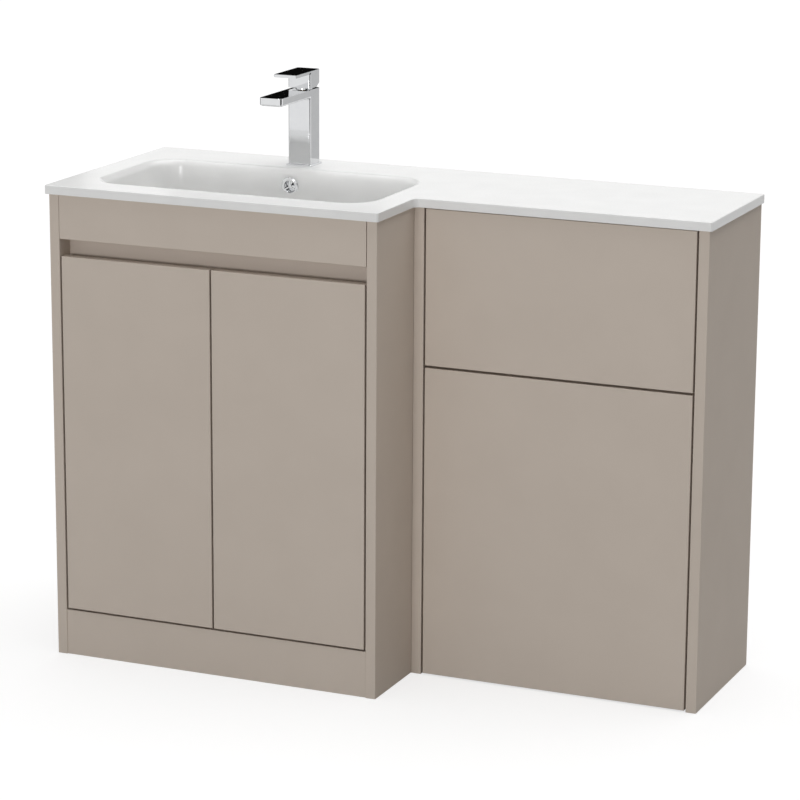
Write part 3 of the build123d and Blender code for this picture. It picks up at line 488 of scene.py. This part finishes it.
def makeBasinTop():
    b, duct = basin, basin["duct"]
    x, y = b["middle"]
    slab = makeSlab()
    skin = bowlProfile(b["wall"])
    skinSize = [s - 2 * skin[0][0] for s in b["rim"]]
    shell = roundedBowl("shell", b["middle"], skinSize, b["rimCorner"] - skin[0][0],
                        b["top"] - skin[0][1], skin, b["skinCap"])
    combine(slab, shell, "UNION")
    boss = lathe("boss", [(b["boss"] - b["bossEdge"], b["bossLow"]),
                          (b["boss"], b["bossLow"] + b["bossEdge"]),
                          (b["boss"], b["top"] - b["depth"])], 48)
    setPlace(boss, (x, y, 0))
    combine(slab, boss, "UNION")
    for front, top in ((y, duct["channelTop"]), (duct["back"] - duct["riser"], duct["riserTop"])):
        run = startBlock("duct", (x - duct["half"], front, b["bossLow"]),
                         (x + duct["half"], duct["back"], top))
        roundEdges(run, upright, duct["corner"], 4)
        combine(slab, run, "UNION")
    cavity = roundedBowl("cavity", b["middle"], b["rim"], b["rimCorner"], b["top"], bowlProfile(0),
                         b["cavityCap"])
    combine(slab, cavity, "DIFFERENCE")
    for place, (radius, low, high) in ((b["middle"], b["wasteHole"]), ((x, b["tapY"]), b["tapHole"])):
        boreHole(slab, (*place, 0), radius, low, high)
    overflowY, overflowZ = b["overflow"]
    radius, low, high = b["overflowHole"]
    hole = lathe("hole", [(radius, low), (radius, high)], 48)
    setPlace(hole, (x, overflowY, overflowZ), (math.pi / 2 + b["draft"], 0, 0))
    combine(slab, hole, "DIFFERENCE")
    addPiece(slab, "gelCoat", "mineral_cast", "carcass", "basin_top")


makeBasinTop()
print("basin top made")

# square mixer: column with a flat spout, mirror plated
mixer = {
    "x": -0.2525, "y": 0.1545, "halfWidth": 21 * mm, "front": 0.1345, "back": 0.1745,
    "low": 0.818, "top": 0.947, "tip": 0.020, "spoutLow": 0.933, "round": 3.5 * mm,
    "tipRound": 6 * mm, "edge": 0.5 * mm, "aeratorY": 0.035, "aeratorHole": (9 * mm, 0.928, 0.941),
    "chamber": (12.6 * mm, 0.915, 0.955),
}


def makeTapBody():
    t = mixer
    left, right = t["x"] - t["halfWidth"], t["x"] + t["halfWidth"]
    body = startBlock("tapBody", (left, t["front"], t["low"]), (right, t["back"], t["top"]))
    cutThrough(body, (0, 0, t["spoutLow"]), (0, 0, 1))
    pickFaces(body, lambda c, n: n.y < -0.9 and c.z > t["spoutLow"])
    extrudePicked(0, t["tip"] - t["front"], 0)
    stopEditing()
    roundEdges(body, lambda p, q: upright(p, q) and near(p.y, t["tip"]), t["tipRound"], 8)

    def softCorner(p, q):
        column = upright(p, q) and (near(p.y, t["back"]) or near(p.y, t["front"]))
        underside = (near(p.z, t["spoutLow"]) and near(q.z, t["spoutLow"])
                     and min(p.y, q.y) < t["front"] + mm)
        return column or underside
    roundEdges(body, softCorner, t["round"], 6)
    roundEdges(body, lambda p, q: near(p.z, t["top"]) and near(q.z, t["top"]), t["edge"], 2)
    boreHole(body, (t["x"], t["aeratorY"], 0), *t["aeratorHole"], 48)
    boreHole(body, (t["x"], t["y"], 0), *t["chamber"])
    addPiece(body, "chrome", "chrome", "carcass", "tap_body", "tap_spout")


makeTapBody()

basePlate = {"halfX": 24 * mm, "halfY": 23 * mm, "low": 0.815, "top": 0.818, "corner": 3 * mm,
             "edge": 1.3 * mm, "hole": (16 * mm, 0.81, 0.82)}


def makeBasePlate():
    p = basePlate
    x, y = mixer["x"], mixer["y"]
    plate = startBlock("tapBasePlate", (x - p["halfX"], y - p["halfY"], p["low"]),
                       (x + p["halfX"], y + p["halfY"], p["top"]))
    roundEdges(plate, upright, p["corner"], 5)
    roundEdges(plate, lambda a, b: near(a.z, p["top"]) and near(b.z, p["top"]), p["edge"], 4)
    boreHole(plate, (x, y, 0), *p["hole"])
    addPiece(plate, "chrome", "chrome", "carcass", "tap_base_plate")


makeBasePlate()

# lever: a hollow block under a thin flat handle, cut back below so that it can tilt
lever = {"low": 0.9495, "plateLow": 0.974, "top": 0.979, "tip": 0.0785, "chamferFrom": 0.1605,
         "chamferRise": 8.5 * mm, "wall": 3 * mm, "hollowTop": 0.970, "plateRound": 1.2 * mm,
         "edge": 0.4 * mm}


def makeTapLever():
    t, v = mixer, lever
    left, right = t["x"] - t["halfWidth"], t["x"] + t["halfWidth"]
    piece = startBlock("tapLever", (left, t["front"], v["low"]), (right, t["back"], v["top"]))
    cutThrough(piece, (0, 0, v["plateLow"]), (0, 0, 1))
    pickFaces(piece, lambda c, n: n.y < -0.9 and c.z > v["plateLow"])
    extrudePicked(0, v["tip"] - t["front"], 0)
    stopEditing()
    run = t["back"] - v["chamferFrom"]
    cutThrough(piece, (0, v["chamferFrom"], v["low"]), (0, v["chamferRise"], -run), remove=True)
    roundEdges(piece, lambda p, q: upright(p, q) and near(p.y, v["tip"]), v["plateRound"], 4)
    roundEdges(piece, lambda p, q: upright(p, q) and (near(p.y, t["back"]) or near(p.y, t["front"])),
               t["round"], 6)
    roundEdges(piece, lambda p, q: near(p.z, v["top"]) and near(q.z, v["top"]), v["edge"], 2)
    hollow = startBlock("hollow", (left + v["wall"], t["front"] + v["wall"], v["low"] - mm),
                        (right - v["wall"], t["back"] - v["wall"], v["hollowTop"]))
    combine(piece, hollow, "DIFFERENCE")
    addPiece(piece, "chrome", "chrome", "tap_lever", "tap_lever")


makeTapLever()
print("mixer made")

# overflow ring on the back wall of the bowl: a rounded rim round three spokes
ring = {
    # (radius, height) pairs over the wall: socket, outer edge, crown and bore
    "rim": [(10.9 * mm, -8 * mm), (10.9 * mm, 0), (16 * mm, 0), (16 * mm, 0.7 * mm),
            (15.5 * mm, 1.5 * mm), (14.4 * mm, 2.3 * mm), (13 * mm, 2.6 * mm),
            (10.9 * mm, 2.2 * mm), (10 * mm, 1.2 * mm), (9.5 * mm, 0), (9.5 * mm, -7.9 * mm)],
    "hub": [(3.2 * mm, -1 * mm), (3.2 * mm, 0.4 * mm), (2.4 * mm, 1 * mm)],
    "spokes": 3, "spokeWidth": 2.4 * mm, "spokeReach": 10.1 * mm, "spokeLow": -1 * mm,
    "spokeTop": 0.6 * mm, "spokeEdge": 0.5 * mm,
}


def makeOverflowRing():
    r = ring
    body = lathe("overflowRing", r["rim"])
    spokes = lathe("spokes", r["hub"], 32)
    for i in range(r["spokes"]):
        arm = startBlock("arm", (-r["spokeWidth"] / 2, 0, r["spokeLow"]),
                         (r["spokeWidth"] / 2, r["spokeReach"], r["spokeTop"]))
        roundEdges(arm, lambda p, q: near(p.z, r["spokeTop"]) and near(q.z, r["spokeTop"]),
                   r["spokeEdge"], 3)
        setPlace(arm, (0, 0, 0), (0, 0, i * math.tau / r["spokes"]))
        combine(spokes, arm, "UNION")
    combine(body, spokes, "UNION")
    y, z = basin["overflow"]
    setPlace(body, (basin["middle"][0], y, z), (math.pi / 2 + basin["draft"], 0, 0))
    addPiece(body, "chrome", "chrome", "carcass", "overflow_ring")


makeOverflowRing()

# waste plug: a stem under a slightly domed disc with a rounded edge, as (radius, height) pairs
plug = {
    "turned": [(4 * mm, 0.618), (4 * mm, 0.7003), (27.5 * mm, 0.7003), (29 * mm, 0.7013),
               (29 * mm, 0.7023), (28.5 * mm, 0.7033), (27.4 * mm, 0.7043), (25 * mm, 0.7048),
               (17.4 * mm, 0.70515), (7.25 * mm, 0.7053)],
}
wastePlug = lathe("wastePlug", plug["turned"])
setPlace(wastePlug, (*basin["middle"], 0))
addPiece(wastePlug, "chrome", "chrome", "plug", "waste_plug")
print("small fittings made")

# photograph's viewpoint
view = {"place": (2.0441, -4.7630, 1.7415), "yaw": 0.406, "pitch": -0.243, "roll": 0.006,
        "lens": 143.2, "sensor": 36.0}
cameraData = bpy.data.cameras.new("studioCamera")
cameraData.lens = view["lens"]
cameraData.sensor_width = view["sensor"]
cameraData.sensor_fit = "HORIZONTAL"
cameraData.clip_end = 200
camera = bpy.data.objects.new("studioCamera", cameraData)
bpy.context.scene.collection.objects.link(camera)
camera.matrix_world = (Matrix.Translation(view["place"]) @ Matrix.Rotation(view["yaw"], 4, "Z")
                       @ Matrix.Rotation(math.pi / 2 + view["pitch"], 4, "X")
                       @ Matrix.Rotation(view["roll"], 4, "Z"))
bpy.context.scene.camera = camera

# studio: pale floor and background that read as white paper, a broad soft key overhead and a low
# fill from the front, all at a level where a colour renders about as it is written
studio = {"floorGrey": "#a4a4a4", "floorGlow": 0.68, "sky": 0.34,
          "lamps": {"overheadKey": (1.90, 60, (math.radians(-8), math.radians(5), 0)),
                    "frontFill": (0.95, 12, (math.radians(87), 0, 0))}}

# cards that only the mirror-bright metal shows, as a photographer stands them round a tap:
# middle, width, height, turns about X and Z in degrees, and grey
cards = {
    "darkBehind": ((-0.52, 0.60, 1.20), 0.45, 0.40, (90, 0), "#0c0c0c"),
    "greyBehind": ((0.65, 2.00, 0.575), 0.45, 0.62, (90, 0), "#cfcfcf"),
    "darkRight": ((1.53, -0.69, 0.65), 1.90, 1.20, (90, 65), "#141414"),
    "darkLeft": ((-2.03, 0.99, 0.65), 1.90, 1.20, (90, 65), "#141414"),
    "darkAbove": ((-0.75, -0.30, 2.00), 0.90, 0.80, (0, 0), "#141414"),
}


def seenRays(tree):
    # 1 for what the camera, a mirror or glass looks at, and 0 for the light that falls on surfaces
    rays = addNode(tree, "ShaderNodeLightPath").outputs
    seen = addNode(tree, "ShaderNodeMath", {"operation": "MAXIMUM"},
                   links={0: rays["Is Camera Ray"], 1: rays["Is Glossy Ray"]}).outputs[0]
    return addNode(tree, "ShaderNodeMath", {"operation": "MAXIMUM"},
                   links={0: seen, 1: rays["Is Transmission Ray"]}).outputs[0]


def makeCard(name, middle, width, height, turns, grey):
    deselectAll()
    bpy.ops.mesh.primitive_plane_add(size=1)
    card = nameNew(name)
    card.scale = (width, height, 1)
    setPlace(card, middle, (math.radians(turns[0]), 0, math.radians(turns[1])))
    material = bpy.data.materials.new(name)
    material.use_nodes = True
    tree = material.node_tree
    tree.nodes.clear()
    face = addNode(tree, "ShaderNodeEmission", values={"Color": linearColour(grey)})
    addNode(tree, "ShaderNodeOutputMaterial", links={"Surface": face.outputs[0]})
    card.data.materials.append(material)
    card.visible_camera = card.visible_diffuse = card.visible_shadow = False
    card.visible_transmission = False


def makeStudio():
    s = studio
    world = bpy.data.worlds.new("studioWorld")
    bpy.context.scene.world = world
    world.use_nodes = True
    tree = world.node_tree
    tree.nodes.clear()
    level = addNode(tree, "ShaderNodeMapRange", values={"To Min": s["sky"]},
                    links={"Value": seenRays(tree)}).outputs["Result"]
    back = addNode(tree, "ShaderNodeBackground", values={"Color": (1, 1, 1, 1)},
                   links={"Strength": level})
    addNode(tree, "ShaderNodeOutputWorld", links={"Surface": back.outputs[0]})

    deselectAll()
    bpy.ops.mesh.primitive_plane_add(size=60, location=(0, 0, -0.0005))
    floor = nameNew("studioFloor")
    applyPlace(floor)
    material = bpy.data.materials.new("studioPaper")
    material.use_nodes = True
    tree = material.node_tree
    tree.nodes.clear()
    paper = addNode(tree, "ShaderNodeBsdfDiffuse", values={"Color": linearColour(s["floorGrey"])})
    level = addNode(tree, "ShaderNodeMapRange", values={"To Max": s["floorGlow"]},
                    links={"Value": seenRays(tree)}).outputs["Result"]
    glow = addNode(tree, "ShaderNodeEmission", links={"Strength": level})
    both = addNode(tree, "ShaderNodeAddShader", links={0: paper.outputs[0], 1: glow.outputs[0]})
    addNode(tree, "ShaderNodeOutputMaterial", links={"Surface": both.outputs[0]})
    floor.data.materials.append(material)

    for name, (energy, angle, turn) in s["lamps"].items():
        lamp = bpy.data.lights.new(name, "SUN")
        lamp.energy = energy
        lamp.angle = math.radians(angle)
        stand = bpy.data.objects.new(name, lamp)
        stand.rotation_euler = turn
        bpy.context.scene.collection.objects.link(stand)


makeStudio()
for name, card in cards.items():
    makeCard(name, *card)
bpy.context.scene.view_settings.view_transform = "Standard"
print("studio made")
